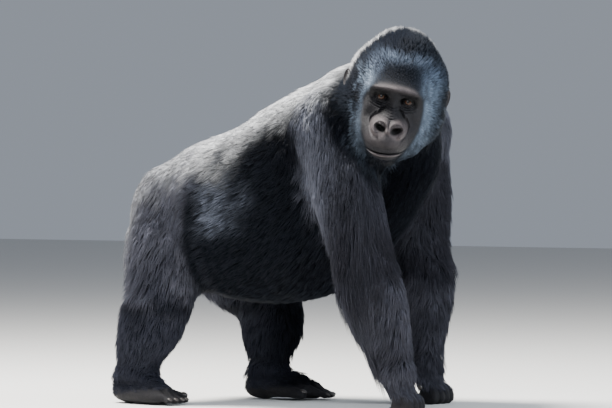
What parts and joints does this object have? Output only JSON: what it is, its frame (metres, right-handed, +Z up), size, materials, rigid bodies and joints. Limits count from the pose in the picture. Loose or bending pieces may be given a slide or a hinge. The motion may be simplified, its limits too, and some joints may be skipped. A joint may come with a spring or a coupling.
{
  "type": "gorilla",
  "caption": "Still life-size adult male western lowland gorilla, standing on knuckles and soles with its head turned to its right.",
  "frame": {"origin": "on the floor, in the middle of the box around the animal", "axes": "+Z up; the trunk lies along Y and faces -Y; the animal's right side is at -X"},
  "size_m": [0.667, 1.0546, 1.049],
  "materials": {
    "coat": "matt dark grey-black hair",
    "saddle": "matt silver-grey hair over dark skin",
    "skin": "bare black skin, finely creased, slightly shiny",
    "eye": "wet, dark brown",
    "nail": "dark horn, satin"
  },
  "bodies": {
    "root": {"head": "coat", "neck": "coat", "chest": "coat", "belly": "saddle", "rump": "saddle", "upper_arm_left": "coat", "upper_arm_right": "coat", "forearm_left": "coat", "forearm_right": "coat", "hand_left": "skin", "hand_right": "skin", "thigh_left": "saddle", "thigh_right": "saddle", "shin_left": "coat", "shin_right": "coat", "foot_left": "skin", "foot_right": "skin", "ear_left": "skin", "ear_right": "skin", "eye_left": "eye", "eye_right": "eye"}
  },
  "joints": []
}
